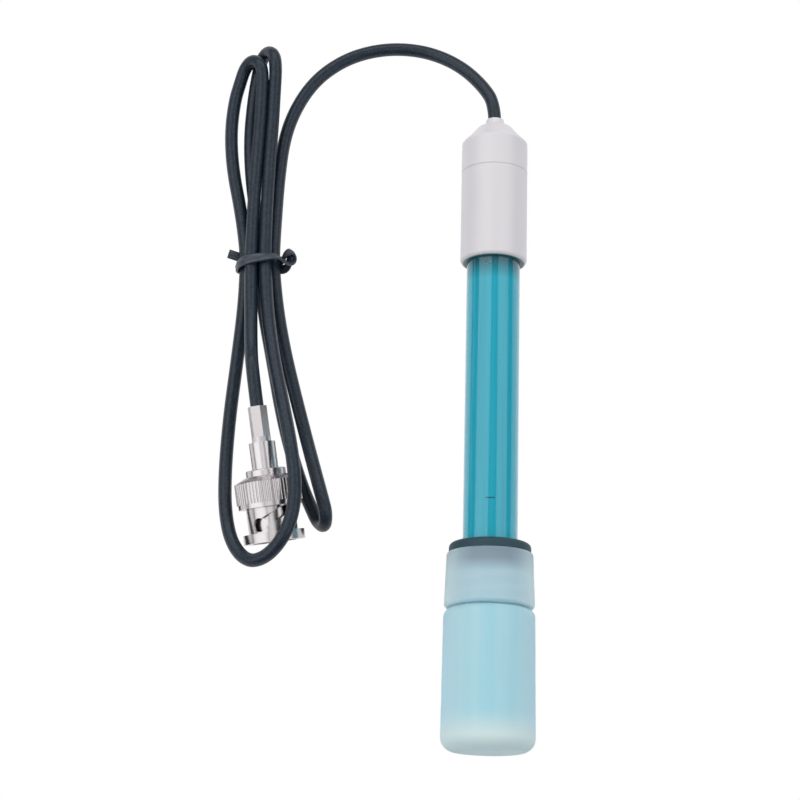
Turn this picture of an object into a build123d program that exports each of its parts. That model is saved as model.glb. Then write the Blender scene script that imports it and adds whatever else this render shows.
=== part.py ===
from build123d import *
import math
import os

# A pH electrode lying on a table: stepped cap, clear tube, soaking bottle on the tip,
# and a thin coaxial lead folded into a tied hank with a bayonet plug on its end.
# Millimetres. The origin is on the table under the middle of the electrode, the electrode
# lies along Y with its cap toward +Y, and Z is up.
# Each electrode piece is drawn upright, its axis on Z and its stations counted up from the
# bottle's base, and is then laid down. The plug is drawn upright too, rear end at zero.

# Clear tube with guard prongs
tube_d = 12.0
tube_wall = 1.2
tube_tip = 6.0
tube_exposed = 64.5
tube_in_sleeve = 13.5
guard_slot_w = 3.4
guard_slot_h = 6.0
tip_chamfer = 0.4

# Fits
sliding_fit = 0.03
turning_fit = 0.06
close_fit = 0.02

# Soaking bottle, its neck wide enough for the tube
neck_clearance = 0.7
neck_wall = 1.1
neck_h = 8.35
shoulder_ledge = 2.1
shoulder_land = 0.2
base_flare = 0.25
bottle_body_h = 30.5
bottle_wall = 1.0
bottle_floor = 1.3
bottle_base_round = 3.0

# Screw ring on the bottle's neck
ring_gap = 0.2
ring_h = 11.95
ring_wall = 1.25
ring_flare = 0.42
ring_plate = 1.5
ring_thread_room = 0.35
ring_low_round = 0.8
ring_top_round = 0.5

# Rubber seal that grips the tube
waist_wall = 0.57
flange_reach = 2.35
flange_t = 2.1
flange_round = 1.0
foot_t = 2.2
seal_seat = 0.05

# Cap in two pieces
cap_wall = 1.48
sleeve_l = 21.7
sleeve_rim_round = 0.9
seam_chamfer = 0.18
spigot_l = 6.0
spigot_wall = 1.5
cap_straight = 7.25
shoulder_inset = 1.85
shoulder_h = 1.9
shoulder_round = 0.9
cone_ledge = 0.15
cone_step = 0.2
cone_taper = 1.6
cone_h = 1.9
crown_taper = 0.7
crown_h = 0.25
crown_round = 0.3
nipple_wall = 0.46
nipple_flare = 0.5
nipple_step = 0.1
nipple_h = 1.8
cavity_roof = 7.8

# Glass stem and what it carries
stem_room = 1.8
stem_wall_t = 0.7
bulb_swell = 0.9
bulb_wall = 0.4
bulb_lift = 1.7
stem_below_tube_top = 3.0
stopper_l = 4.0
stopper_head_t = 1.2
inner_wire_d = 0.8
inner_wire_lift = 5.0
outer_wire_d = 0.7
outer_wire_low = 40.0
bush_l = 5.0
bush_below_tube_top = 6.0
junction_low = 15.5
junction_t = 2.0
stem_seal_t = 2.5
potting_l = 4.8

# Coaxial lead and its tie
cable_d = 3.0
cable_end_depth = 2.6
cable_straight = 3.85
tie_y = 38.0
lower_left_x = -56.3
lower_right_x = -50.0
upper_left_x = -54.95
upper_right_x = -51.8
tie_w = 2.1
tie_t = 1.0
tie_gap = 0.15
tie_tail_l = 2.6
tie_knot_r = 1.5
tie_knot_wire = 1.4

# Bayonet plug: the lead's ferrule, the body and what it holds
plug_front_x = -46.9
plug_front_y = -27.4
plug_tilt = 9.0
plug_heading = 9.4
ferrule_wall = 0.34
ferrule_l = 8.0
ferrule_turn = 13.0
ferrule_rim_l = 1.2
ferrule_rim_wall = 0.58
cable_in_ferrule = 1.0
cable_last_corner = 8.0
insulator_bore = 3.2
body_rear_wall = 1.3
body_rear_l = 6.0
barrel_d = 8.1
barrel_wall = 0.8
barrel_l = 7.8
neck_step = 0.05
body_neck_l = 4.75
collar_step = 0.3
collar_t = 1.45
collar_round = 0.3
body_flange_t = 0.8
body_flange_gap = 0.15
pin_d = 1.36
pin_l = 14.0
insulator_nose_d = 3.8
insulator_nose_l = 3.6
insulator_seat_l = 2.6
gasket_t = 1.2
gasket_gap = 0.2

# Coupling nut, spring washer and split ring
jack_room = 0.85
nut_sleeve_wall = 0.5
nut_sleeve_l = 5.6
nut_flange_reach = 1.35
nut_flange_t = 2.05
nut_ring_reach = 1.55
nut_ring_l = 1.0
knurl_reach = 1.85
knurl_l = 4.6
knurl_count = 60
knurl_cut_r = 0.24
nut_cone_l = 1.2
nut_cone_wall = 0.74
nut_rear_wall = 1.5
nut_pocket_reach = 0.3
nut_pocket_l = 3.8
slot_w = 2.1
slot_turn = 67.0
slot_phase = 54.0
slot_rear = 1.2
slot_front = 1.8
slot_detent_r = 1.5
slot_entry_depth = 0.3
washer_room = 0.2
washer_slack = 0.15
washer_t = 0.3
washer_dish = 0.45
clip_reach = 0.8
clip_seat = 0.4
clip_t = 0.8
clip_opening = 3.0

# Sizes that follow from the tube outward
tube_bore = tube_d - 2 * tube_wall
neck_bore = tube_d + 2 * neck_clearance
neck_d = neck_bore + 2 * neck_wall
bottle_shoulder_d = neck_d + 2 * shoulder_ledge
bottle_base_d = bottle_shoulder_d + 2 * base_flare
bottle_shoulder_round = shoulder_ledge - shoulder_land
ring_bore = neck_d + 2 * ring_thread_room
ring_top_d = ring_bore + 2 * ring_wall
ring_low_d = ring_top_d + 2 * ring_flare
seal_bore = tube_d + 2 * sliding_fit
waist_d = seal_bore + 2 * waist_wall
flange_d = waist_d + 2 * flange_reach
foot_d = neck_d
sleeve_bore = tube_d + 2 * close_fit
cap_d = sleeve_bore + 2 * cap_wall
spigot_r = sleeve_bore / 2 - close_fit
cap_bore = 2 * (spigot_r - spigot_wall)
shoulder_r = cap_d / 2 - shoulder_inset
cone_base_r = shoulder_r - cone_ledge
cone_top_r = cone_base_r - cone_taper
crown_r = cone_top_r - crown_taper
cable_bore = cable_d + 2 * close_fit
nipple_top_r = cable_bore / 2 + nipple_wall
nipple_base_r = nipple_top_r + nipple_flare
stem_d = tube_bore - 2 * stem_room
stem_bore = stem_d - 2 * stem_wall_t
bulb_d = stem_d + 2 * bulb_swell
outer_wire_offset = (stem_d + tube_bore) / 4

# Sizes that follow from the plug's barrel and the lead
barrel_bore = barrel_d - 2 * barrel_wall
body_neck_d = barrel_d + 2 * neck_step
collar_d = body_neck_d + 2 * collar_step
body_rear_d = insulator_bore + 2 * body_rear_wall
nut_bore = barrel_d + 2 * jack_room
body_flange_d = nut_bore - 2 * body_flange_gap
gasket_d = nut_bore - 2 * gasket_gap
nut_sleeve_d = nut_bore + 2 * nut_sleeve_wall
nut_flange_d = nut_sleeve_d + 2 * nut_flange_reach
nut_ring_d = nut_sleeve_d + 2 * nut_ring_reach
knurl_d = nut_sleeve_d + 2 * knurl_reach
nut_rear_bore = body_neck_d + 2 * turning_fit
nut_cone_d = nut_rear_bore + 2 * nut_cone_wall
nut_pocket_d = nut_sleeve_d + 2 * nut_pocket_reach
washer_d = nut_pocket_d - 2 * washer_room
washer_bore = body_neck_d + 2 * washer_slack
clip_d = body_neck_d + 2 * clip_reach
clip_groove_d = body_neck_d - 2 * clip_seat
ferrule_af = cable_bore + 2 * ferrule_wall
ferrule_rim_d = cable_bore + 2 * ferrule_rim_wall

# Stations along the electrode, counted up from the bottle's base
neck_top = bottle_body_h + neck_h
ring_low = bottle_body_h + ring_gap
ring_top = ring_low + ring_h
plate_low = ring_top - ring_plate
flange_low = ring_top + seal_seat
flange_top = flange_low + flange_t
foot_top = plate_low - seal_seat
foot_low = foot_top - foot_t
sleeve_low = flange_top + tube_exposed
seam = sleeve_low + sleeve_l
tube_top = sleeve_low + tube_in_sleeve
shoulder_top = seam + cap_straight + shoulder_h
cone_low = shoulder_top + cone_step
cone_top = cone_low + cone_h
crown_top = cone_top + crown_h
nipple_low = crown_top + nipple_step
cap_end = nipple_low + nipple_h
cavity_top = seam + cavity_roof
cable_end = cap_end - cable_end_depth
cable_first_corner = cap_end + cable_straight

# How it lies: the lowest line touches the cap's upper edge and the widest thing near the bottle
shoulder_start = bottle_body_h - bottle_shoulder_round
cap_contact = seam + cap_straight - shoulder_round
rests = [
    (bottle_base_round, bottle_base_d / 2),
    (shoulder_start, bottle_shoulder_d / 2),
    (ring_low + ring_low_round, ring_low_d / 2),
]
slopes = [(radius - cap_d / 2) / (cap_contact - station) for station, radius in rests]
lie_angle = math.degrees(math.atan(max(slopes)))
lie_sin = math.sin(math.radians(lie_angle))
lie_cos = math.cos(math.radians(lie_angle))
base_flat_r = bottle_base_d / 2 - bottle_base_round
axis_y = -(cap_end * lie_cos + (nipple_top_r - base_flat_r) * lie_sin) / 2
axis_z = cap_d / 2 * lie_cos + cap_contact * lie_sin
lying = Location((0, axis_y, axis_z), (-90 - lie_angle, 0, 0))


def on_axis(station):
    """A point of the lying electrode's axis."""
    return Vector(0, axis_y + station * lie_cos, axis_z - station * lie_sin)


# Where the plug lies: the front flange's lower edge on the table, its rear held up by the lead
tilt_sin = math.sin(math.radians(plug_tilt))
tilt_cos = math.cos(math.radians(plug_tilt))
heading_sin = math.sin(math.radians(plug_heading))
heading_cos = math.cos(math.radians(plug_heading))
plug_dir = Vector(heading_sin * tilt_cos, -heading_cos * tilt_cos, -tilt_sin)
collar_low = ferrule_l + body_rear_l
nut_low = collar_low + collar_t + turning_fit
knurl_low = nut_low + nut_cone_l
nut_ring_low = knurl_low + knurl_l
nut_sleeve_low = nut_ring_low + nut_ring_l
nut_flange_low = nut_sleeve_low + nut_sleeve_l
plug_l = nut_flange_low + nut_flange_t
plug_front = Vector(plug_front_x, plug_front_y, nut_flange_d / 2 * tilt_cos)
plug_rear = plug_front - plug_dir * plug_l
plug_place = Plane(plug_rear, x_dir=(heading_cos, heading_sin, 0), z_dir=plug_dir).location


def on_plug(station):
    """A point of the plug's axis, counted from its rear end."""
    return plug_rear + plug_dir * station


def turned(*outline):
    """Revolve a closed outline of (radius, station) points about Z."""
    return revolve(Plane.XZ * make_face(Polyline(*outline, close=True)), Axis.Z)


def disc(diameter, low, high, bore=0.0):
    """A round piece between two stations, with or without a bore."""
    standing = (Align.CENTER, Align.CENTER, Align.MIN)
    body = Cylinder(diameter / 2, high - low, align=standing)
    if bore > 0:
        body = body - Cylinder(bore / 2, high - low, align=standing)
    return Pos(0, 0, low) * body


def rim(body, radius, station):
    """The circular edges of a turned piece with this radius at this station."""
    circles = body.edges().filter_by(GeomType.CIRCLE)
    return circles.filter_by(lambda e: abs(e.radius - radius) < 1e-3 and abs(e.arc_center.Z - station) < 1e-3)


# Bottle: thin blown wall, rounded base and shoulder, plain neck
shoulder_r_in = bottle_shoulder_d / 2 - bottle_wall
bottle_skin = turned(
    (0, 0), (bottle_base_d / 2, 0), (bottle_shoulder_d / 2, bottle_body_h), (neck_d / 2, bottle_body_h),
    (neck_d / 2, neck_top), (0, neck_top),
)
bottle_skin = fillet(rim(bottle_skin, bottle_base_d / 2, 0), bottle_base_round)
bottle_skin = fillet(rim(bottle_skin, bottle_shoulder_d / 2, bottle_body_h), bottle_shoulder_round)
inner_roof = bottle_body_h - bottle_wall
bottle_hollow = turned(
    (0, bottle_floor), (bottle_base_d / 2 - bottle_wall, bottle_floor), (shoulder_r_in, inner_roof),
    (neck_bore / 2, inner_roof), (neck_bore / 2, neck_top), (0, neck_top),
)
hollow_base_r = bottle_base_d / 2 - bottle_wall
bottle_hollow = fillet(rim(bottle_hollow, hollow_base_r, bottle_floor), bottle_base_round - bottle_wall)
bottle_hollow = fillet(rim(bottle_hollow, shoulder_r_in, inner_roof), bottle_shoulder_round - bottle_wall)
bottle = bottle_skin - bottle_hollow

# Screw ring: tapered skirt with a holed plate across its top
waist_hole = waist_d + 2 * turning_fit
bottle_cap = turned(
    (ring_bore / 2, ring_low), (ring_low_d / 2, ring_low), (ring_top_d / 2, ring_top),
    (waist_hole / 2, ring_top), (waist_hole / 2, plate_low), (ring_bore / 2, plate_low),
)
bottle_cap = fillet(rim(bottle_cap, ring_low_d / 2, ring_low), ring_low_round)
bottle_cap = fillet(rim(bottle_cap, ring_top_d / 2, ring_top), ring_top_round)

# Seal: a flange above the ring's plate, a waist through it and a foot that presses on the neck
seal_grommet = turned(
    (seal_bore / 2, foot_low), (foot_d / 2, foot_low), (foot_d / 2, foot_top), (waist_d / 2, foot_top),
    (waist_d / 2, flange_low), (flange_d / 2, flange_low), (flange_d / 2, flange_top),
    (seal_bore / 2, flange_top),
)
seal_grommet = fillet(rim(seal_grommet, flange_d / 2, flange_top), flange_round)

# Tube: open at both ends, four prongs guard the glass bulb
electrode_tube = disc(tube_d, tube_tip, tube_top, tube_bore)
electrode_tube = chamfer(rim(electrode_tube, tube_d / 2, tube_tip), tip_chamfer)
slot_roof = tube_tip + guard_slot_h
for turn in (0, 90):
    slot = Pos(0, 0, tube_tip + guard_slot_h / 2) * Box(tube_d, guard_slot_w, guard_slot_h)
    slot = slot + Pos(0, 0, slot_roof) * Rot(0, 90, 0) * Cylinder(guard_slot_w / 2, tube_d)
    electrode_tube = electrode_tube - Rot(0, 0, turn + 45) * slot

# Cap sleeve: glued over the tube's end, a fine chamfer makes one side of the seam line
cap_sleeve = disc(cap_d, sleeve_low, seam, sleeve_bore)
cap_sleeve = fillet(rim(cap_sleeve, cap_d / 2, sleeve_low), sleeve_rim_round)
cap_sleeve = chamfer(rim(cap_sleeve, cap_d / 2, seam), seam_chamfer)

# Cap top: spigot in the sleeve, straight band, shoulder, cone and cable nipple
spigot_low = seam - spigot_l
cap_top = turned(
    (cap_bore / 2, spigot_low), (spigot_r, spigot_low), (spigot_r, seam), (cap_d / 2, seam),
    (cap_d / 2, seam + cap_straight), (shoulder_r, shoulder_top), (cone_base_r, cone_low),
    (cone_top_r, cone_top), (crown_r, crown_top), (nipple_base_r, nipple_low), (nipple_top_r, cap_end),
    (cable_bore / 2, cap_end), (cable_bore / 2, cavity_top), (cap_bore / 2, cavity_top),
)
cap_top = fillet(rim(cap_top, cap_d / 2, seam + cap_straight), shoulder_round)
cap_top = fillet(rim(cap_top, cone_top_r, cone_top), crown_round)
cap_top = chamfer(rim(cap_top, cap_d / 2, seam), seam_chamfer)

# Resin in the cap: anchors the lead and closes the top
potting_low = cavity_top - potting_l
cable_potting = disc(cap_bore - 2 * close_fit, potting_low, cavity_top) + disc(cable_d, cavity_top, cable_end)

# Glass stem: the bulb is blown on its end
stem_top = tube_top - stem_below_tube_top
bulb_low = tube_tip + bulb_lift
bulb_mid = bulb_low + bulb_d / 2
bulb_in_r = bulb_d / 2 - bulb_wall
bulb_neck = bulb_mid + math.sqrt((bulb_d / 2) ** 2 - (stem_d / 2) ** 2)
bulb_neck_in = bulb_mid + math.sqrt(bulb_in_r ** 2 - (stem_bore / 2) ** 2)
bulb_outside = ThreePointArc((0, bulb_low), (bulb_d / 2, bulb_mid), (stem_d / 2, bulb_neck))
bulb_inside = ThreePointArc((stem_bore / 2, bulb_neck_in), (bulb_in_r, bulb_mid), (0, bulb_low + bulb_wall))
stem_wall = Polyline(
    (stem_d / 2, bulb_neck), (stem_d / 2, stem_top), (stem_bore / 2, stem_top), (stem_bore / 2, bulb_neck_in),
)
bulb_foot = Line((0, bulb_low + bulb_wall), (0, bulb_low))
glass_stem = revolve(Plane.XZ * make_face([bulb_outside, stem_wall, bulb_inside, bulb_foot]), Axis.Z)

# Stopper in the stem's mouth, with the inner wire through it
wire_hole = inner_wire_d + 2 * close_fit
stem_stopper = turned(
    (wire_hole / 2, stem_top - stopper_l), (stem_bore / 2 - close_fit, stem_top - stopper_l),
    (stem_bore / 2 - close_fit, stem_top), (stem_d / 2, stem_top), (stem_d / 2, stem_top + stopper_head_t),
    (wire_hole / 2, stem_top + stopper_head_t),
)
inner_reference_wire = disc(inner_wire_d, bulb_low + inner_wire_lift, potting_low)

# Rings between the stem and the tube, and the outer wire in the space above them
lining_bore = stem_d + 2 * close_fit
lining_d = tube_bore - 2 * close_fit
junction_top = junction_low + junction_t
junction_ring = disc(lining_d, junction_low, junction_top, lining_bore)
stem_seal = disc(lining_d, junction_top, junction_top + stem_seal_t, lining_bore)
bush_top = tube_top - bush_below_tube_top
outer_wire = Pos(outer_wire_offset, 0, 0)
outer_reference_wire = outer_wire * disc(outer_wire_d, outer_wire_low, potting_low)
top_bush = disc(lining_d, bush_top - bush_l, bush_top, lining_bore)
top_bush = top_bush - outer_wire * disc(outer_wire_d + 2 * close_fit, bush_top - bush_l, bush_top)

# Plug body: crimp stem, rear barrel, collar, neck for the nut, gasket flange and front barrel
collar_top = collar_low + collar_t
neck_end = collar_top + body_neck_l
barrel_low = neck_end + body_flange_t
barrel_end = barrel_low + barrel_l
bore_floor = barrel_low + body_flange_t
clip_low = nut_low + nut_rear_wall + washer_dish + washer_t + 3 * turning_fit
clip_high = clip_low + clip_t + 2 * close_fit
plug_body = turned(
    (0, cable_in_ferrule), (cable_d / 2, cable_in_ferrule), (cable_d / 2, ferrule_l),
    (body_rear_d / 2, ferrule_l), (body_rear_d / 2, collar_low), (collar_d / 2, collar_low),
    (collar_d / 2, collar_top),
    (body_neck_d / 2, collar_top), (body_neck_d / 2, clip_low), (clip_groove_d / 2, clip_low),
    (clip_groove_d / 2, clip_high), (body_neck_d / 2, clip_high),
    (body_neck_d / 2, neck_end), (body_flange_d / 2, neck_end), (body_flange_d / 2, barrel_low),
    (barrel_d / 2, barrel_low), (barrel_d / 2, barrel_end), (barrel_bore / 2, barrel_end),
    (barrel_bore / 2, bore_floor), (insulator_bore / 2, bore_floor), (insulator_bore / 2, collar_low),
    (0, collar_low),
)
plug_body = fillet(rim(plug_body, collar_d / 2, collar_low), collar_round)

# Ferrule: a tube pressed to a hexagon, left round at its front rim
ferrule_hex = extrude(RegularPolygon(ferrule_af / 2, 6, major_radius=False, rotation=ferrule_turn), ferrule_l)
crimp_ferrule = ferrule_hex + disc(ferrule_rim_d, ferrule_l - ferrule_rim_l, ferrule_l)
crimp_ferrule = crimp_ferrule - disc(cable_bore, 0, ferrule_l)

# Insulator and pin
pin_hole = pin_d + 2 * close_fit
seat_top = bore_floor + insulator_seat_l
plug_insulator = turned(
    (pin_hole / 2, collar_low), (insulator_bore / 2 - close_fit, collar_low),
    (insulator_bore / 2 - close_fit, bore_floor), (barrel_bore / 2 - close_fit, bore_floor),
    (barrel_bore / 2 - close_fit, seat_top), (insulator_nose_d / 2, seat_top),
    (insulator_nose_d / 2, seat_top + insulator_nose_l), (pin_hole / 2, seat_top + insulator_nose_l),
)
centre_pin = disc(pin_d, collar_low, collar_low + pin_l)
centre_pin = fillet(rim(centre_pin, pin_d / 2, collar_low + pin_l), pin_d / 4)
plug_gasket = disc(gasket_d, barrel_low, barrel_low + gasket_t, barrel_d + 2 * close_fit)

# Spring washer and split ring that hold the nut on the body
washer_low = nut_low + nut_rear_wall + turning_fit
spring_washer = turned(
    (washer_bore / 2, washer_low + washer_dish), (washer_d / 2, washer_low),
    (washer_d / 2, washer_low + washer_t), (washer_bore / 2, washer_low + washer_dish + washer_t),
)
clip_bore = clip_groove_d + 2 * close_fit
retaining_ring = disc(clip_d, clip_low + close_fit, clip_high - close_fit, clip_bore)
clip_split = Pos(clip_d / 2, 0, clip_low) * Box(clip_d, clip_opening, 4 * clip_t)
retaining_ring = retaining_ring - clip_split

# Coupling nut: knurled grip, sleeve with two bayonet slots, front flange
pocket_low = nut_low + nut_rear_wall
pocket_top = pocket_low + nut_pocket_l
coupling_nut = turned(
    (nut_rear_bore / 2, nut_low), (nut_cone_d / 2, nut_low), (knurl_d / 2, knurl_low),
    (knurl_d / 2, nut_ring_low),
    (nut_ring_d / 2, nut_ring_low), (nut_ring_d / 2, nut_sleeve_low), (nut_sleeve_d / 2, nut_sleeve_low),
    (nut_sleeve_d / 2, nut_flange_low), (nut_flange_d / 2, nut_flange_low), (nut_flange_d / 2, plug_l),
    (nut_bore / 2, plug_l), (nut_bore / 2, pocket_top), (nut_pocket_d / 2, pocket_top),
    (nut_pocket_d / 2, pocket_low), (nut_rear_bore / 2, pocket_low),
)
flute = Pos(knurl_d / 2, 0, 0) * disc(2 * knurl_cut_r, knurl_low, nut_ring_low)
coupling_nut = coupling_nut - [Rot(0, 0, 360 * k / knurl_count) * flute for k in range(knurl_count)]
slot_r = (nut_bore + nut_sleeve_d) / 4
slot_depth = nut_sleeve_d - nut_bore
slot_low = nut_sleeve_low + slot_rear
slot_rise = nut_sleeve_l - slot_rear - slot_front
helix = Helix(pitch=slot_rise * 360 / slot_turn, height=slot_rise, radius=slot_r)
slot_section = Plane(helix @ 0, x_dir=(1, 0, 0), z_dir=helix % 0) * Rectangle(slot_depth, slot_w)
ramp = sweep(slot_section, path=helix, is_frenet=True)
slot_end = Pos(slot_r, 0, 0) * Rot(0, 90, 0) * Cylinder(slot_w / 2, slot_depth)
detent = Rot(0, 0, slot_turn) * Pos(slot_r, 0, slot_rise) * Rot(0, 90, 0) * Cylinder(slot_detent_r, slot_depth)
bayonet_slot = Pos(0, 0, slot_low) * (ramp + slot_end + detent)
entry_l = plug_l - slot_low
entry = Pos(nut_bore / 2, 0, slot_low + entry_l / 2) * Box(2 * slot_entry_depth, slot_w, entry_l)
for turn in (slot_phase, slot_phase + 180):
    coupling_nut = coupling_nut - Rot(0, 0, turn) * bayonet_slot
    coupling_nut = coupling_nut - Rot(0, 0, turn) * entry

# Lead: laid by hand from the nipple over its arc, twice round the hank and into the plug
floor_z = cable_d / 2
tied_z = 2.7
upper_z = 5.45
cable_route = [
    on_axis(cable_end), on_axis(cable_first_corner),
    (-2.9, 81.6, 5.6), (-8.1, 87.4, 3.4), (-14.9, 91.2, 1.8), (-22.2, 92.3, floor_z), (-29.3, 91.4, floor_z),
    (-35.8, 88.8, floor_z), (-41.9, 83.9, floor_z), (-46.2, 77.0, floor_z), (-48.6, 69.0, floor_z),
    (-49.4, 58.8, floor_z), (-50.0, 48.3, 2.0), (-50.1, 40.8, tied_z), (-49.9, 36.0, tied_z),
    (-48.7, 26.8, 1.6), (-46.6, 16.9, 1.5), (-43.9, 6.9, 1.5), (-41.2, -2.6, 2.6), (-38.8, -10.9, 4.8),
    (-37.0, -17.0, 6.6), (-35.9, -20.9, 7.2), (-36.2, -23.4, 4.4), (-37.8, -22.0, 1.6), (-39.3, -19.0, floor_z),
    (-41.7, -13.8, floor_z), (-44.4, -6.1, floor_z), (-46.9, 3.1, floor_z), (-49.3, 14.8, floor_z),
    (-51.9, 26.7, 1.6), (-53.0, 35.9, tied_z), (-53.3, 40.8, tied_z), (-54.6, 50.1, 1.6), (-56.1, 59.2, floor_z),
    (-56.8, 68.6, floor_z), (-56.4, 77.8, floor_z), (-55.6, 84.9, floor_z), (-54.9, 88.5, 1.6),
    (-53.3, 89.8, 3.6), (-51.6, 88.0, 5.9), (-51.1, 84.4, 6.2), (-51.2, 79.3, 5.3), (-51.3, 72.3, 4.6),
    (-51.7, 62.5, 4.4), (-51.9, 51.3, 4.9), (-51.9, 39.9, upper_z), (-51.6, 35.1, upper_z),
    (-50.6, 24.4, 6.8), (-48.5, 12.6, 9.6), (-45.6, 0.7, 12.8), (-43.5, -8.9, 15.4), (-42.3, -17.0, 16.6),
    (-42.8, -23.6, 16.6), (-44.9, -29.0, 15.9), (-48.4, -32.6, 13.7), (-52.7, -33.2, 10.8), (-56.5, -28.9, 8.2),
    (-58.5, -21.3, 5.8), (-59.0, -11.3, 3.6), (-58.5, 1.6, 2.0), (-57.3, 16.0, floor_z), (-56.4, 27.6, 1.6),
    (-56.2, 35.9, tied_z), (-56.4, 40.7, tied_z), (-58.1, 50.7, 1.6), (-60.2, 60.6, floor_z),
    (-61.1, 69.7, floor_z), (-60.6, 77.7, floor_z), (-59.6, 82.7, 1.6), (-58.6, 85.9, 2.5), (-56.7, 87.2, 4.5),
    (-54.6, 85.4, 6.0), (-54.2, 82.2, 5.8), (-54.4, 77.0, 5.1), (-54.7, 68.6, 4.6), (-55.2, 58.7, 4.5),
    (-55.3, 48.8, 4.9), (-55.0, 39.8, upper_z), (-54.9, 35.0, upper_z), (-54.4, 25.5, 6.6), (-53.8, 15.8, 9.4),
    on_plug(-cable_last_corner), on_plug(cable_in_ferrule),
]
route = [Vector(point) for point in cable_route]
bend_radii = []
for before, corner, after in zip(route, route[1:], route[2:]):
    turn = (corner - before).get_angle(after - corner)
    shorter = min((corner - before).length, (after - corner).length)
    bend_radii.append(0.45 * shorter / math.tan(math.radians(turn / 2)))
cable_path = FilletPolyline(*route, radius=bend_radii)
cable_section = Plane(cable_path @ 0, z_dir=cable_path % 0) * Circle(cable_d / 2)
cable = sweep(cable_section, path=cable_path)
print("bend radii", " ".join("%.1f" % radius for radius in bend_radii))
print("lead length %.1f" % cable_path.length)
swept = math.pi * cable_d ** 2 / 4 * cable_path.length
print("lead volume %.1f" % cable.volume, "section times length %.1f" % swept)

# Twist tie: a flat band round the five strands, a cut tail on one side and a twisted knot on the other
strands = Polygon(
    (lower_left_x, tied_z), (lower_right_x, tied_z), (upper_right_x, upper_z), (upper_left_x, upper_z), align=None,
)
tie_inside = offset(strands, amount=cable_d / 2 + tie_gap)
tie_outside = offset(strands, amount=cable_d / 2 + tie_gap + tie_t)
tie_plane = Plane((0, tie_y + tie_w / 2, 0), x_dir=(1, 0, 0), z_dir=(0, -1, 0))
tie_band = extrude(tie_plane * (tie_outside - tie_inside), tie_w)
tie_left = lower_left_x - cable_d / 2 - tie_gap
tie_right = lower_right_x + cable_d / 2 + tie_gap
tie_tail_at = Pos(tie_left - (tie_tail_l + tie_t) / 2, tie_y + tie_w * 0.7, tied_z - tie_t)
tie_tail = tie_tail_at * Rot(0, 0, -12) * Box(tie_tail_l, tie_w, tie_t)
knot_at = Pos(tie_right + tie_gap + tie_knot_r + tie_knot_wire / 2, tie_y + tie_w / 2, tied_z + tie_t)
tie_knot = knot_at * Rot(35, 0, 0) * Torus(tie_knot_r, tie_knot_wire / 2)
twist_at = knot_at * Pos(0, -tie_w, -tie_t / 2)
tie_twist = twist_at * Rot(0, 20, 0) * Torus(tie_knot_r * 0.6, tie_knot_wire / 2)
cable_tie = tie_band + tie_tail + tie_knot + tie_twist

electrode_pieces = {
    "bottle": bottle,
    "bottle_cap": bottle_cap,
    "seal_grommet": seal_grommet,
    "electrode_tube": electrode_tube,
    "cap_sleeve": cap_sleeve,
    "cap_top": cap_top,
    "cable_potting": cable_potting,
    "glass_stem": glass_stem,
    "stem_stopper": stem_stopper,
    "inner_reference_wire": inner_reference_wire,
    "outer_reference_wire": outer_reference_wire,
    "junction_ring": junction_ring,
    "stem_seal": stem_seal,
    "top_bush": top_bush,
}
plug_pieces = {
    "crimp_ferrule": crimp_ferrule,
    "plug_body": plug_body,
    "plug_insulator": plug_insulator,
    "centre_pin": centre_pin,
    "plug_gasket": plug_gasket,
    "spring_washer": spring_washer,
    "retaining_ring": retaining_ring,
    "coupling_nut": coupling_nut,
}
pieces = {name: lying * shape for name, shape in electrode_pieces.items()}
pieces.update({name: plug_place * shape for name, shape in plug_pieces.items()})
pieces["cable"] = cable
pieces["cable_tie"] = cable_tie

os.makedirs("parts", exist_ok=True)
for name, shape in pieces.items():
    export_step(shape, "parts/" + name + ".step")
print("laid at %.3f degrees, axis at y %.3f z %.3f" % (lie_angle, axis_y, axis_z))
print("plug rear", plug_rear, "length %.2f" % plug_l)
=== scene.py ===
# %% [markdown]
# A pH electrode lying on a pale table: white cap, clear teal tube, frosted soaking bottle, and a dark
# coaxial lead tied in a hank with a bright bayonet plug. The imported solids are the fixed frame.
# Everything here is metres in that same frame: the electrode lies along Y, its cap toward +Y, and Z is
# up.

# %% Load the frame
import math

import bmesh
import bpy
from mathutils import Matrix, Vector


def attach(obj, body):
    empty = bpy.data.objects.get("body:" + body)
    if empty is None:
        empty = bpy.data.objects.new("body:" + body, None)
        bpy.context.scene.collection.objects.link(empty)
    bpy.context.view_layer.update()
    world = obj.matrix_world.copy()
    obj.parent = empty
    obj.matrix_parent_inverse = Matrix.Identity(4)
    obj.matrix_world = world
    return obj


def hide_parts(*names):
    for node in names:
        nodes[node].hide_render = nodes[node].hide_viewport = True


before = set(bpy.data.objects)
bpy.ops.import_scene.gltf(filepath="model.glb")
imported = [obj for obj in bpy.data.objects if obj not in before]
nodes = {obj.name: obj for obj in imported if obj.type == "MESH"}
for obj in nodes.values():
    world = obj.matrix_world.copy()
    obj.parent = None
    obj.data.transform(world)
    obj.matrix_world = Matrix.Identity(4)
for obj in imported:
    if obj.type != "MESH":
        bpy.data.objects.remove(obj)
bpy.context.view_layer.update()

# %% [markdown]
# The camera looks down steeply from the bottle's side, with a long lens and a slight roll, so the
# electrode leans a little in the picture. A matrix from three directions places it exactly, where
# a tracking constraint would have to guess the roll.

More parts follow.
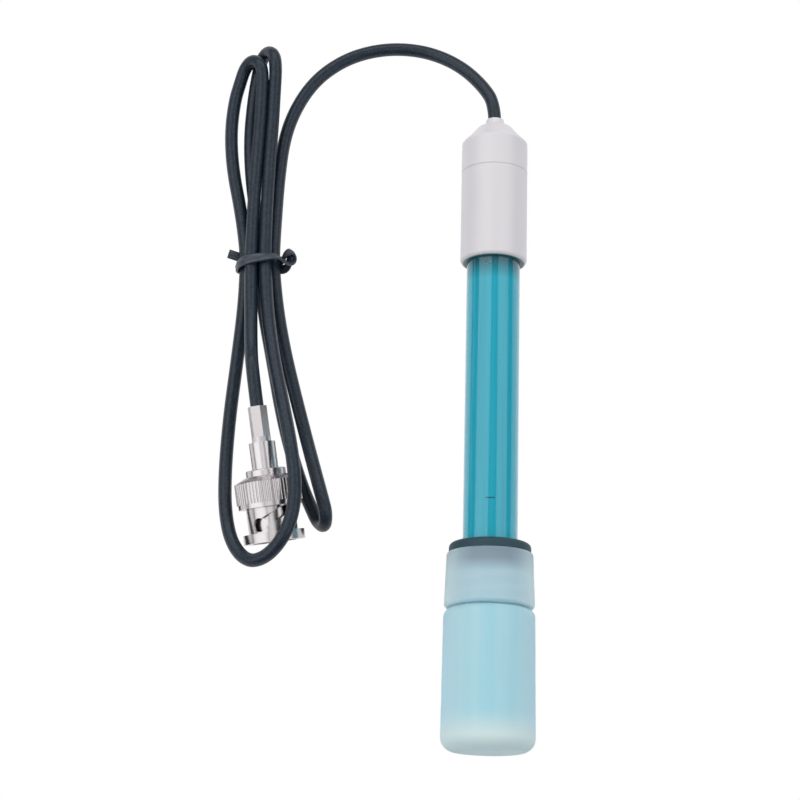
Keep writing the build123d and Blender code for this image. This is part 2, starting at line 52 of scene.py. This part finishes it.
# %% Camera
tilt = math.radians(14.665)
roll = math.radians(1.42)
eye = Vector((-0.02034, -0.1094, 0.445))
right = Vector((math.cos(roll), math.sin(roll) * math.cos(tilt), math.sin(roll) * math.sin(tilt)))
upward = Vector((-math.sin(roll), math.cos(roll) * math.cos(tilt), math.cos(roll) * math.sin(tilt)))
backward = right.cross(upward)
camera_data = bpy.data.cameras.new("camera")
camera_data.lens = 91.58
camera_data.sensor_width = 36.0
camera = bpy.data.objects.new("camera", camera_data)
camera.matrix_world = Matrix.Translation(eye) @ Matrix((right, upward, backward)).transposed().to_4x4()
bpy.context.scene.collection.objects.link(camera)
bpy.context.scene.camera = camera
bpy.context.scene.view_settings.view_transform = "Standard"
print("camera looks along", [round(-v, 3) for v in backward])

# %% [markdown]
# Small helpers come first. A material is a node tree, and these functions add a node with its
# values, join two sockets and mix two colours, so that each finish below reads as a short list.


# %% Node helpers
def add_node(tree, kind, **values):
    """A shader node, with named inputs or properties set."""
    node = tree.nodes.new(kind)
    for name, value in values.items():
        label = name.replace("_", " ")
        if label in node.inputs:
            node.inputs[label].default_value = value
        else:
            setattr(node, name, value)
    return node


def new_material(name, **values):
    """A Principled material, with uniform values on the shader's own sockets."""
    material = bpy.data.materials.new(name)
    material.use_nodes = True
    shader = material.node_tree.nodes["Principled BSDF"]
    for label, value in values.items():
        shader.inputs[label.replace("_", " ")].default_value = value
    return material, material.node_tree, shader


def mix_colour(tree, amount, first, second):
    """A colour between two, each a plain colour or a socket; amount is a socket."""
    mixer = add_node(tree, "ShaderNodeMix", data_type="RGBA")
    tree.links.new(amount, mixer.inputs[0])
    for socket, value in zip([s for s in mixer.inputs if s.type == "RGBA"], (first, second)):
        if isinstance(value, tuple):
            socket.default_value = (*value, 1)
        else:
            tree.links.new(value, socket)
    return [s for s in mixer.outputs if s.type == "RGBA"][0]


def ramp_value(tree, value, low, high, to_low=0.0, to_high=1.0):
    """Map a value from one range to another and clamp it."""
    spread = add_node(tree, "ShaderNodeMapRange")
    for label, number in (("From Min", low), ("From Max", high), ("To Min", to_low), ("To Max", to_high)):
        spread.inputs[label].default_value = number
    tree.links.new(value, spread.inputs["Value"])
    return spread.outputs["Result"]


def times(tree, first, second):
    """Multiply two values; the second may be a number."""
    product = add_node(tree, "ShaderNodeMath", operation="MULTIPLY")
    tree.links.new(first, product.inputs[0])
    if isinstance(second, float):
        product.inputs[1].default_value = second
    else:
        tree.links.new(second, product.inputs[1])
    return product.outputs[0]


def add_bump(tree, shader, height, depth, strength=0.5):
    """Raise the surface by a height."""
    bump = add_node(tree, "ShaderNodeBump", Strength=strength, Distance=depth)
    tree.links.new(height, bump.inputs["Height"])
    tree.links.new(bump.outputs[0], shader.inputs["Normal"])


# %% [markdown]
# The table is plain, pale and a little cool. The camera sees it pure white, as do shiny and clear
# surfaces, which is what Light Path is for: only the picture of the floor changes, and the light
# that it throws up at the object stays soft.

# %% Table
floor_mesh = bpy.data.meshes.new("table_top")
floor_form = bmesh.new()
bmesh.ops.create_grid(floor_form, x_segments=1, y_segments=1, size=3.0)
floor_form.to_mesh(floor_mesh)
floor_form.free()
table_top = bpy.data.objects.new("table_top", floor_mesh)
bpy.context.scene.collection.objects.link(table_top)

white_floor = bpy.data.materials.new("white_floor")
white_floor.use_nodes = True
tree = white_floor.node_tree
tree.nodes.clear()
floor_out = add_node(tree, "ShaderNodeOutputMaterial")
floor_mix = add_node(tree, "ShaderNodeMixShader")
floor_paint = add_node(tree, "ShaderNodeBsdfDiffuse", Color=(0.81, 0.87, 0.96, 1))
floor_glow = add_node(tree, "ShaderNodeEmission", Color=(1, 1, 1, 1), Strength=1.0)
rays = add_node(tree, "ShaderNodeLightPath")
seen_or_glossy = add_node(tree, "ShaderNodeMath", operation="MAXIMUM")
seen_at_all = add_node(tree, "ShaderNodeMath", operation="MAXIMUM")
tree.links.new(rays.outputs["Is Camera Ray"], seen_or_glossy.inputs[0])
tree.links.new(rays.outputs["Is Glossy Ray"], seen_or_glossy.inputs[1])
tree.links.new(seen_or_glossy.outputs[0], seen_at_all.inputs[0])
tree.links.new(rays.outputs["Is Transmission Ray"], seen_at_all.inputs[1])
tree.links.new(seen_at_all.outputs[0], floor_mix.inputs[0])
tree.links.new(floor_paint.outputs[0], floor_mix.inputs[1])
tree.links.new(floor_glow.outputs[0], floor_mix.inputs[2])
tree.links.new(floor_mix.outputs[0], floor_out.inputs[0])
floor_mesh.materials.append(white_floor)
print("table", floor_mesh.name)

# %% [markdown]
# Two long soft boxes hang left and right above, toed in toward the cap, and a small one hangs over
# the plug, because its polished top mirrors the gap between the other two. A fourth stands behind
# the cap and tips forward, for the faces that lean away from the camera. Bright metal is only as
# good as what it mirrors, so the surroundings are not one even grey: they are dim near the
# horizon and pale overhead, and the dim part draws the dark lines along the plug's sides.


# %% World and lamps
world = bpy.data.worlds.new("studio")
bpy.context.scene.world = world
world.use_nodes = True
sky = world.node_tree
sky_way = add_node(sky, "ShaderNodeTexCoord")
sky_parts = add_node(sky, "ShaderNodeSeparateXYZ")
sky.links.new(sky_way.outputs["Generated"], sky_parts.inputs[0])
overhead = ramp_value(sky, sky_parts.outputs["Z"], 0.05, 0.55)
horizon_grey, overhead_white = (0.38, 0.42, 0.48), (0.92, 0.96, 1.0)
backdrop = sky.nodes["Background"]
sky.links.new(mix_colour(sky, overhead, horizon_grey, overhead_white), backdrop.inputs["Color"])
backdrop.inputs["Strength"].default_value = 0.29


def soft_box(name, place, width, length, turn, power, tip=0.0):
    """A rectangular lamp, its length along Y, that faces the middle, turned and tipped in degrees."""
    lamp = bpy.data.lights.new(name, "AREA")
    lamp.shape = "RECTANGLE"
    lamp.size = width
    lamp.size_y = length
    lamp.energy = power
    away = Vector((place[0], 0.0, place[2])).normalized()
    across = Vector((0.0, 1.0, 0.0)).cross(away)
    facing = Matrix((across, (0.0, 1.0, 0.0), away)).transposed().to_4x4()
    holder = bpy.data.objects.new(name, lamp)
    toe = Matrix.Rotation(math.radians(turn), 4, "Z") @ Matrix.Rotation(math.radians(tip), 4, "X")
    holder.matrix_world = Matrix.Translation(place) @ facing @ toe
    bpy.context.scene.collection.objects.link(holder)


soft_box("left_soft_box", (-0.52, 0.12, 0.54), width=0.73, length=1.3, turn=-25.0, power=3.9)
soft_box("right_soft_box", (0.52, 0.12, 0.54), width=0.62, length=1.3, turn=10.0, power=2.8)
soft_box("top_soft_box", (-0.05, -0.10, 0.85), width=0.42, length=0.35, turn=0.0, power=0.44)
soft_box("back_soft_box", (0.0, 0.75, 0.55), width=0.8, length=0.3, turn=0.0, power=1.9, tip=-52.0)
print("studio ready")

# %% [markdown]
# The lead is one flexible length, so it is one NURBS spline along the route's points. It leaves the cap,
# swings over to the hank, runs down and up twice, and goes down into the plug. Order and end clamping are
# set after the points exist, because before that Blender keeps straight runs. Each point's radius holds
# the thickness and the bevel is one, because Blender counts the radius of the points in a curve's box.


# %% Lead
def laid_curve(name, route, thickness, sides):
    """A round NURBS curve along points in metres, clamped at both ends."""
    curve = bpy.data.curves.new(name, "CURVE")
    curve.dimensions = "3D"
    line = curve.splines.new("NURBS")
    line.points.add(len(route) - 1)
    for point, place in zip(line.points, route):
        point.co = (*place, 1.0)
        point.radius = thickness / 2
    line.order_u = 3
    line.use_endpoint_u = True
    line.resolution_u = 10
    curve.bevel_depth = 1.0
    curve.bevel_resolution = sides
    curve.use_fill_caps = True
    piece = bpy.data.objects.new(name, curve)
    bpy.context.scene.collection.objects.link(piece)
    return piece


lead_d = 0.003
floor_z = lead_d / 2
tied_z = 0.0027
upper_z = 0.00545
lead_route = [
    (0.0, 0.06964, 0.00740), (0.0, 0.07609, 0.00726), (-0.0029, 0.0816, 0.0056),
    (-0.0081, 0.0874, 0.0034), (-0.0149, 0.0912, 0.0018), (-0.0222, 0.0923, floor_z),
    (-0.0293, 0.0914, floor_z), (-0.0358, 0.0888, floor_z), (-0.0419, 0.0839, floor_z),
    (-0.0462, 0.0770, floor_z), (-0.0488, 0.0690, floor_z), (-0.0497, 0.0588, floor_z),
    (-0.0500, 0.0483, 0.0020), (-0.0501, 0.0408, tied_z), (-0.0499, 0.0360, tied_z),
    (-0.0487, 0.0268, 0.0016), (-0.0466, 0.0169, 0.0015), (-0.0439, 0.0069, 0.0015),
    (-0.0412, -0.0026, 0.0026), (-0.0388, -0.0109, 0.0048), (-0.0370, -0.0170, 0.0066),
    (-0.0359, -0.0209, 0.0072), (-0.0362, -0.0234, 0.0044), (-0.0378, -0.0220, 0.0016),
    (-0.0393, -0.0190, floor_z), (-0.0417, -0.0138, floor_z), (-0.0444, -0.0061, floor_z),
    (-0.0469, 0.0031, floor_z), (-0.0493, 0.0148, floor_z), (-0.0519, 0.0267, 0.0016),
    (-0.0530, 0.0359, tied_z), (-0.0533, 0.0408, tied_z), (-0.0546, 0.0501, 0.0016),
    (-0.0561, 0.0592, floor_z), (-0.0568, 0.0686, floor_z), (-0.0564, 0.0778, floor_z),
    (-0.0556, 0.0849, floor_z), (-0.0549, 0.0885, 0.0016), (-0.0533, 0.0898, 0.0036),
    (-0.0516, 0.0880, 0.0059), (-0.0511, 0.0844, 0.0062), (-0.05125, 0.0793, 0.0053),
    (-0.0514, 0.0723, 0.0046), (-0.05175, 0.0625, 0.0044), (-0.05195, 0.0513, 0.0049),
    (-0.0519, 0.0399, upper_z), (-0.0516, 0.0351, upper_z), (-0.0506, 0.0244, 0.0068),
    (-0.0485, 0.0126, 0.0096), (-0.0456, 0.0007, 0.0128), (-0.0435, -0.0089, 0.0154),
    (-0.0423, -0.0170, 0.0166), (-0.0428, -0.0236, 0.0166), (-0.0448, -0.0286, 0.0159),
    (-0.0483, -0.0322, 0.0137), (-0.0524, -0.0328, 0.0108), (-0.0562, -0.0285, 0.0082),
    (-0.0582, -0.0210, 0.0058), (-0.0588, -0.0112, 0.0036), (-0.0585, 0.0016, 0.0020),
    (-0.0573, 0.0160, floor_z), (-0.0564, 0.0276, 0.0016), (-0.0562, 0.0359, tied_z),
    (-0.0564, 0.0407, tied_z), (-0.0581, 0.0507, 0.0016), (-0.0604, 0.0606, floor_z),
    (-0.0613, 0.0697, floor_z), (-0.0608, 0.0777, floor_z), (-0.0596, 0.0827, 0.0016),
    (-0.0586, 0.0859, 0.0025), (-0.0567, 0.0872, 0.0045), (-0.0546, 0.0854, 0.0060),
    (-0.0541, 0.0822, 0.0058), (-0.05415, 0.0770, 0.0051), (-0.0544, 0.0686, 0.0046),
    (-0.0548, 0.0587, 0.0045), (-0.0550, 0.0488, 0.0049), (-0.0550, 0.0398, upper_z),
    (-0.0549, 0.0350, upper_z), (-0.0544, 0.0255, 0.0066), (-0.0538, 0.0158, 0.0094),
    (-0.05302, 0.00959, 0.01261), (-0.05157, 0.00082, 0.01120),
]
lead = laid_curve("lead", lead_route, lead_d, 6)
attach(lead, "electrode")
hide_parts("cable")
print("lead with", len(lead_route), "points")

# %% [markdown]
# A twist tie is a thin steel wire inside a flat plastic ribbon. It goes under the hank from its cut
# end on the left, round the right side into the knot's loop, back over the top, under again, and up
# through the loop, which its end fills. A curve with some extrude and a little bevel is a flat
# ribbon, and a second, round curve on the same points is the wire that shows as a ridge along the
# middle of both faces. Each point's tilt turns the ribbon: flat round the hank, leaning in the knot.

# %% Twist tie
tie_route = [
    (-0.0605, 0.0403, 0.0017), (-0.0586, 0.0398, 0.0012), (-0.0560, 0.0393, 0.0007),
    (-0.0530, 0.0390, 0.00065), (-0.0494, 0.0388, 0.0007), (-0.0479, 0.0388, 0.0020),
    (-0.0475, 0.0392, 0.0044), (-0.0464, 0.0401, 0.0056), (-0.0453, 0.0397, 0.0046),
    (-0.0454, 0.0383, 0.0034), (-0.0465, 0.0375, 0.0038), (-0.0476, 0.0376, 0.0054),
    (-0.0492, 0.0383, 0.0072), (-0.0515, 0.0379, 0.0075), (-0.0550, 0.0373, 0.0075),
    (-0.0575, 0.0369, 0.0057), (-0.05845, 0.0367, 0.0029), (-0.0580, 0.0367, 0.0010),
    (-0.0560, 0.0369, 0.00065), (-0.0525, 0.0371, 0.00065), (-0.0492, 0.0372, 0.0007),
    (-0.0475, 0.0368, 0.0014), (-0.0464, 0.0376, 0.0028), (-0.0461, 0.0394, 0.0044),
]
ribbon_t, ribbon_side, wire_d = 0.0006, 0.0008, 0.0009
tie_ribbon = laid_curve("tie_ribbon", tie_route, ribbon_t, 2)
tie_ribbon.data.extrude = ribbon_side / (ribbon_t / 2)
tie_turns = [
    85, 86, 88, 89, 90, 88, 85, 72, 58, 48, 42, 42, 35, 5, -10, -5, -2, -2, -6, -6, -7, -5, 0, 5,
]
for point, turn in zip(tie_ribbon.data.splines[0].points, tie_turns):
    point.tilt = math.radians(turn)
tie_wire = laid_curve("tie_wire", tie_route, wire_d, 4)
for piece in (tie_ribbon, tie_wire):
    piece.data.twist_mode = "MINIMUM"
    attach(piece, "electrode")
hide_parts("cable_tie")

print("tie with", len(tie_route), "points")

# %% [markdown]
# The screw thread on the bottle's neck shows faintly through the frosted ring. A thread is a small
# profile that turns and climbs at once, so spin does it in one call: it turns the profile by a
# step and moves it up by a step, and joins each copy to the one before.

# %% Neck thread
lie = math.radians(1.264)
base_place = (0.0, -0.072125, 0.010529)
to_table = Matrix.Translation(base_place) @ Matrix.Rotation(-math.pi / 2 - lie, 4, "X")


def finished(name, form, body):
    """Turn a form made upright round Z into a piece that lies with the electrode."""
    bmesh.ops.remove_doubles(form, verts=form.verts, dist=1e-7)
    bmesh.ops.recalc_face_normals(form, faces=form.faces)
    bmesh.ops.transform(form, matrix=to_table, verts=form.verts)
    for face in form.faces:
        face.smooth = True
    mesh = bpy.data.meshes.new(name)
    form.to_mesh(mesh)
    form.free()
    piece = bpy.data.objects.new(name, mesh)
    bpy.context.scene.collection.objects.link(piece)
    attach(piece, body)
    return piece


root_r, crest_r = 0.0077, 0.0081
outline = ((root_r, 0.0320), (crest_r, 0.0324), (crest_r, 0.0328), (root_r, 0.0332))
thread_form = bmesh.new()
corners = [thread_form.verts.new((reach, 0, height)) for reach, height in outline]
profile = thread_form.faces.new(corners)
turns, steps, pitch = 1.8, 108, 0.003
bmesh.ops.spin(
    thread_form, geom=[profile, *profile.edges, *corners], axis=(0, 0, 1), cent=(0, 0, 0),
    dvec=(0, 0, pitch * turns / steps), angle=turns * 2 * math.pi, steps=steps, use_merge=False,
)
neck_thread = finished("neck_thread", thread_form, "soaking_bottle")
print("thread with", len(neck_thread.data.polygons), "faces")

# %% [markdown]
# Several finishes share a fine moulded grain and a slow drift that keeps a colour from being dead
# flat, so that effect is one node group, built once and placed in each material with its own scale.
# The functions after it place the grain, split a place into its axes, and draw soft streaks.


# %% Shared grain
def grain_group():
    """Fine moulding grain: a height, and a slow drift, on object coordinates in metres."""
    group = bpy.data.node_groups.new("moulded_grain", "ShaderNodeTree")
    group.interface.new_socket("Scale", in_out="INPUT", socket_type="NodeSocketFloat")
    group.interface.new_socket("Height", in_out="OUTPUT", socket_type="NodeSocketFloat")
    group.interface.new_socket("Drift", in_out="OUTPUT", socket_type="NodeSocketFloat")
    way_in = add_node(group, "NodeGroupInput")
    way_out = add_node(group, "NodeGroupOutput")
    place = add_node(group, "ShaderNodeTexCoord")
    fine = add_node(group, "ShaderNodeTexNoise", Detail=4.0, Roughness=0.6)
    slow = add_node(group, "ShaderNodeTexNoise", Scale=60.0, Detail=2.0)
    group.links.new(place.outputs["Object"], fine.inputs["Vector"])
    group.links.new(place.outputs["Object"], slow.inputs["Vector"])
    group.links.new(way_in.outputs["Scale"], fine.inputs["Scale"])
    group.links.new(fine.outputs[0], way_out.inputs["Height"])
    group.links.new(slow.outputs[0], way_out.inputs["Drift"])
    return group


moulded_grain = grain_group()


def add_grain(tree, scale):
    """The shared grain in a material, at a scale in cycles per metre."""
    grain = add_node(tree, "ShaderNodeGroup", node_tree=moulded_grain)
    grain.inputs["Scale"].default_value = scale
    return grain


def vary_roughness(tree, shader, grain, smoothest, roughest):
    """Let the grain's height move the roughness between two values."""
    spread = ramp_value(tree, grain.outputs["Height"], 0.0, 1.0, smoothest, roughest)
    tree.links.new(spread, shader.inputs["Roughness"])


def object_place(tree):
    """Object coordinates, in metres."""
    return add_node(tree, "ShaderNodeTexCoord").outputs["Object"]


def split_axes(tree, place):
    """The X, Y and Z of a place."""
    axes = add_node(tree, "ShaderNodeSeparateXYZ")
    tree.links.new(place, axes.inputs[0])
    return axes.outputs


def long_streaks(tree, place, stretch):
    """Soft streaks along the electrode: noise with more cycles per metre across it than along it."""
    along = add_node(tree, "ShaderNodeMapping", Scale=stretch)
    tree.links.new(place, along.inputs["Vector"])
    streaks = add_node(tree, "ShaderNodeTexNoise", Scale=1.0, Detail=2.0)
    tree.links.new(along.outputs[0], streaks.inputs["Vector"])
    return ramp_value(tree, streaks.outputs[0], 0.3, 0.7)


def grained(parts, dark, light, scale, depth, rough, over=None):
    """Give a finish two close colours, an optional painted shade over them, a bump and a roughness that
    drifts.
    """
    material, tree, shader = parts
    grain = add_grain(tree, scale)
    colour = mix_colour(tree, grain.outputs["Drift"], dark, light)
    if over:
        colour = over(tree, colour)
    tree.links.new(colour, shader.inputs["Base Color"])
    add_bump(tree, shader, grain.outputs["Height"], depth)
    vary_roughness(tree, shader, grain, rough * 0.85, rough * 1.15)
    return material


def dress(material, *names):
    """Give CAD nodes this finish."""
    for name in names:
        mesh = nodes[name].data
        mesh.materials.clear()
        mesh.materials.append(material)


print("grain group with", len(moulded_grain.nodes), "nodes")

# %% [markdown]
# The moulded and turned pieces: satin white for the cap, dark rubber for the seals, white plastic
# for the plug's inside, and bright metals. Metal takes its colour in its reflections, so its base
# colour stays pale and a little warm. The ferrule is duller, because a crimping tool pressed it.
# The rim in the cap's mouth, where it faces the tube, gets a painted dark teal shade for its shadow and
# its reflection of the teal tube.


# %% Plain finishes
# The mouth's painted shade: a dark teal on the rim, for the cap's shadow there and its reflection of the
# tube.
mouth_centre = (0.0, 0.0372, 0.00812)
mouth_inner_r, mouth_outer_r = 0.0067, 0.0071
painted_mouth_shade_teal = (0.015, 0.11, 0.14)


def paint_mouth_shade(tree, colour):
    """Paint a dark teal shade on the rim that faces the tube in the cap's mouth, by its distance from the
    mouth's centre.
    """
    reach = add_node(tree, "ShaderNodeVectorMath", operation="DISTANCE")
    tree.links.new(object_place(tree), reach.inputs[0])
    reach.inputs[1].default_value = mouth_centre
    painted_shade_in_mouth = ramp_value(tree, reach.outputs["Value"], mouth_inner_r, mouth_outer_r, 1.0, 0.0)
    return mix_colour(tree, painted_shade_in_mouth, colour, painted_mouth_shade_teal)


# The cap's white, with the painted shade in its mouth.
cap_white = grained(
    new_material("cap_white", Coat_Weight=0.12), over=paint_mouth_shade,
    dark=(0.70, 0.665, 0.685), light=(0.745, 0.715, 0.73), scale=2500.0, depth=1e-5, rough=0.4,
)
dress(cap_white, "cap_top", "cap_sleeve")
seal_dark = grained(
    new_material("seal_dark"),
    dark=(0.0105, 0.045, 0.062), light=(0.0175, 0.058, 0.078), scale=3000.0, depth=2e-5, rough=0.6,
)
dress(seal_dark, "seal_grommet", "stem_stopper", "stem_seal", "plug_gasket")
insulator_white = grained(
    new_material("insulator_white"),
    dark=(0.75, 0.75, 0.73), light=(0.82, 0.82, 0.8), scale=2000.0, depth=1e-5, rough=0.5,
)
dress(insulator_white, "plug_insulator", "top_bush", "junction_ring")
resin_dark = grained(
    new_material("resin_dark"),
    dark=(0.02, 0.02, 0.02), light=(0.03, 0.03, 0.03), scale=900.0, depth=1e-5, rough=0.25,
)
dress(resin_dark, "cable_potting")
nickel = grained(
    new_material("nickel", Metallic=1.0),
    dark=(0.55, 0.515, 0.52), light=(0.61, 0.575, 0.58), scale=4000.0, depth=1.5e-6, rough=0.25,
)
dress(nickel, "plug_body", "coupling_nut", "spring_washer", "retaining_ring")
crimped = grained(
    new_material("crimped_nickel", Metallic=1.0),
    dark=(0.58, 0.55, 0.555), light=(0.64, 0.61, 0.615), scale=4000.0, depth=6e-6, rough=0.44,
)
dress(crimped, "crimp_ferrule")
silver = grained(
    new_material("silver", Metallic=1.0),
    dark=(0.6, 0.6, 0.58), light=(0.72, 0.72, 0.7), scale=3000.0, depth=4e-6, rough=0.3,
)
dress(silver, "inner_reference_wire", "outer_reference_wire")
gold = grained(
    new_material("gold", Metallic=1.0),
    dark=(0.78, 0.55, 0.2), light=(0.85, 0.63, 0.28), scale=3000.0, depth=4e-6, rough=0.2,
)
dress(gold, "centre_pin")
stem_clear = grained(
    new_material("stem_clear", Transmission_Weight=1.0, IOR=1.5),
    dark=(0.9, 0.96, 0.97), light=(0.95, 0.99, 1.0), scale=200.0, depth=1e-6, rough=0.04,
)
dress(stem_clear, "glass_stem")
tie_black = grained(
    new_material("tie_black"),
    dark=(0.032, 0.040, 0.056), light=(0.046, 0.056, 0.078), scale=2500.0, depth=2e-5, rough=0.35,
)
for piece in (tie_ribbon, tie_wire):
    piece.data.materials.append(tie_black)
print("plain finishes ready")

# %% [markdown]
# The lead's jacket is soft plastic over a braid, and the braid prints through as a fine mottle.
# A small cell pattern makes the mottle, and the shared grain varies the sheen.

# %% Jacket
jacket, tree, shader = new_material("jacket", Coat_Weight=0.05, Specular_IOR_Level=0.36)
jacket_blue, jacket_black = (0.015, 0.028, 0.046), (0.0065, 0.014, 0.026)
braid = add_node(tree, "ShaderNodeTexVoronoi", Scale=1500.0)
tree.links.new(object_place(tree), braid.inputs["Vector"])
mottle = ramp_value(tree, braid.outputs["Distance"], 0.1, 0.75)
tree.links.new(mix_colour(tree, mottle, jacket_blue, jacket_black), shader.inputs["Base Color"])
add_bump(tree, shader, braid.outputs["Distance"], depth=6e-5)
vary_roughness(tree, shader, add_grain(tree, 2600.0), 0.30, 0.46)
lead.data.materials.append(jacket)
print("jacket", len(tree.nodes), "nodes")

# %% [markdown]
# The tube is clear teal plastic, polished outside. Clear plastic is mostly transmission, but this one is
# thick and full of gel, so some of its colour comes from its body. Fine streaks run along it, a painted
# shade darkens it in the cap's mouth for the cap's shadow, a few faint light and dark speckles sit there,
# and one short dark mark sits low on the front. All of these are places on the tube, so they are made
# from object coordinates.


# %% Teal tube
def near(tree, value, centre, reach):
    """One within reach of a place along an axis, none outside it."""
    compare = add_node(tree, "ShaderNodeMath", operation="COMPARE")
    tree.links.new(value, compare.inputs[0])
    compare.inputs[1].default_value = centre
    compare.inputs[2].default_value = reach
    return compare.outputs[0]


def zone(tree, axes, centre, reach):
    """One within a small box, given by its centre and its reach along each axis."""
    in_x, in_y, in_z = (near(tree, axis, c, r) for axis, c, r in zip(axes, centre, reach))
    return times(tree, times(tree, in_x, in_y), in_z)


tube_teal, tree, shader = new_material(
    "tube_teal", Transmission_Weight=0.35, IOR=1.45, Coat_Weight=0.5, Coat_Roughness=0.03,
)
place = object_place(tree)
axes = split_axes(tree, place)
streaks = long_streaks(tree, place, stretch=(900.0, 9.0, 900.0))
body_tint = mix_colour(tree, streaks, (0.014, 0.50, 0.66), (0.026, 0.57, 0.735))
mouth_from, mouth_to = 0.0322, 0.0364
# Painted shade: the tube darkens toward the cap's mouth, where the cap shadows it.
mouth = ramp_value(tree, axes["Y"], mouth_from, mouth_to, 0.0, 0.85)
body_tint = mix_colour(tree, mouth, body_tint, (0.006, 0.080, 0.105))
# A few faint light and dark speckles in a small patch at the mouth.
speckle_noise = add_node(tree, "ShaderNodeTexNoise", Scale=3800.0, Detail=2.0)
tree.links.new(place, speckle_noise.inputs["Vector"])
speckle_zone = zone(tree, axes, centre=(-0.0009, 0.0359, 0.0140), reach=(0.0016, 0.0007, 0.0015))
light_speckles = times(tree, speckle_zone, ramp_value(tree, speckle_noise.outputs[0], 0.50, 0.66, 0.0, 0.22))
dark_speckles = times(tree, speckle_zone, ramp_value(tree, speckle_noise.outputs[0], 0.50, 0.36, 0.0, 0.4))
body_tint = mix_colour(tree, light_speckles, body_tint, (0.30, 0.72, 0.78))
body_tint = mix_colour(tree, dark_speckles, body_tint, (0.004, 0.05, 0.07))
mark = zone(tree, axes, centre=(-0.0004, -0.01816, 0.0152), reach=(0.001, 0.00015, 0.002))
body_tint = mix_colour(tree, times(tree, mark, 0.8), body_tint, (0.012, 0.11, 0.14))
tree.links.new(body_tint, shader.inputs["Base Color"])
grain = add_grain(tree, 250.0)
add_bump(tree, shader, grain.outputs["Height"], depth=2e-6)
vary_roughness(tree, shader, grain, 0.06, 0.12)
dress(tube_teal, "electrode_tube")
print("tube", len(tree.nodes), "nodes")

# %% [markdown]
# The soaking bottle and its ring are frosted plastic: light goes in, but it leaves in every direction, so
# the tube inside is only a soft blue shape. Rough transmission gives that. Both have painted light at
# their sides, a paler colour for the sheen where the wall is seen edge on, and the bottle has painted
# light at its foot too. The ring also shows what is behind it: the neck's thread as soft lines that climb
# with its pitch, and a painted dark band under its top, for the dark seal seen through it and the shade
# there.


# %% Frosted bottle
def frosted(name, clear, rough, tint, pale):
    """Frosted plastic with soft streaks; gives back its tree, shader, places, axes and colour."""
    material, tree, shader = new_material(name, Transmission_Weight=clear, IOR=1.2)
    place = object_place(tree)
    axes = split_axes(tree, place)
    streaks = long_streaks(tree, place, stretch=(260.0, 8.0, 60.0))
    colour = mix_colour(tree, streaks, tint, pale)
    grain = add_grain(tree, 1800.0)
    add_bump(tree, shader, grain.outputs["Height"], depth=2e-5)
    vary_roughness(tree, shader, grain, rough * 0.85, rough * 1.15)
    return material, tree, shader, place, axes, colour


def sideways(tree, axes):
    """Distance from the electrode's middle plane, in metres."""
    side = add_node(tree, "ShaderNodeMath", operation="ABSOLUTE")
    tree.links.new(axes["X"], side.inputs[0])
    return side.outputs[0]


bottle_frost, tree, shader, place, axes, colour = frosted(
    "bottle_frost", clear=0.35, rough=0.55, tint=(0.545, 0.89, 0.985), pale=(0.66, 0.95, 1.0),
)
# Painted light at the sides: a paler colour where the wall is seen edge on.
painted_edge_light = ramp_value(tree, sideways(tree, axes), 0.0045, 0.0085)
colour = mix_colour(tree, painted_edge_light, colour, (0.68, 0.93, 1.0))
# Painted light at the foot: a paler colour toward the bottom of the bottle.
foot_from, foot_to = -0.0640, -0.0690
painted_foot_light = ramp_value(tree, axes["Y"], foot_from, foot_to)
tree.links.new(mix_colour(tree, painted_foot_light, colour, (0.87, 1.0, 1.0)), shader.inputs["Base Color"])
dress(bottle_frost, "bottle")

ring_frost, tree, shader, place, axes, colour = frosted(
    "ring_frost", clear=0.5, rough=0.45, tint=(0.67, 0.90, 0.975), pale=(0.72, 0.92, 0.99),
)
lean = -170.0
turn_wave = add_node(tree, "ShaderNodeVectorMath", operation="DOT_PRODUCT")
tree.links.new(place, turn_wave.inputs[0])
turn_wave.inputs[1].default_value = (lean, 2 * math.pi / pitch, 0.0)
wave = add_node(tree, "ShaderNodeMath", operation="SINE")
tree.links.new(turn_wave.outputs["Value"], wave.inputs[0])
thread_lines = ramp_value(tree, wave.outputs[0], -0.2, 1.0, 0.0, 0.4)
colour = mix_colour(tree, thread_lines, colour, (0.82, 0.95, 1.0))
side = sideways(tree, axes)
# Painted light at the ring's sides: a paler colour where the wall is seen edge on.
colour = mix_colour(tree, ramp_value(tree, side, 0.005, 0.009), colour, (0.83, 0.97, 1.0))
# Painted dark band under the ring's top: the dark seal seen through it, and the shade there.
band_from, band_to = -0.0345, -0.0318
seal_and_shade_band = ramp_value(tree, axes["Y"], band_from, band_to, 0.0, 0.9)
seal_and_shade_band = times(tree, seal_and_shade_band, ramp_value(tree, side, 0.004, 0.0078, 1.0, 0.2))
tree.links.new(mix_colour(tree, seal_and_shade_band, colour, (0.43, 0.55, 0.64)), shader.inputs["Base Color"])
dress(ring_frost, "bottle_cap")
neck_thread.data.materials.append(bottle_frost)
print("frosted", bottle_frost.name, ring_frost.name)
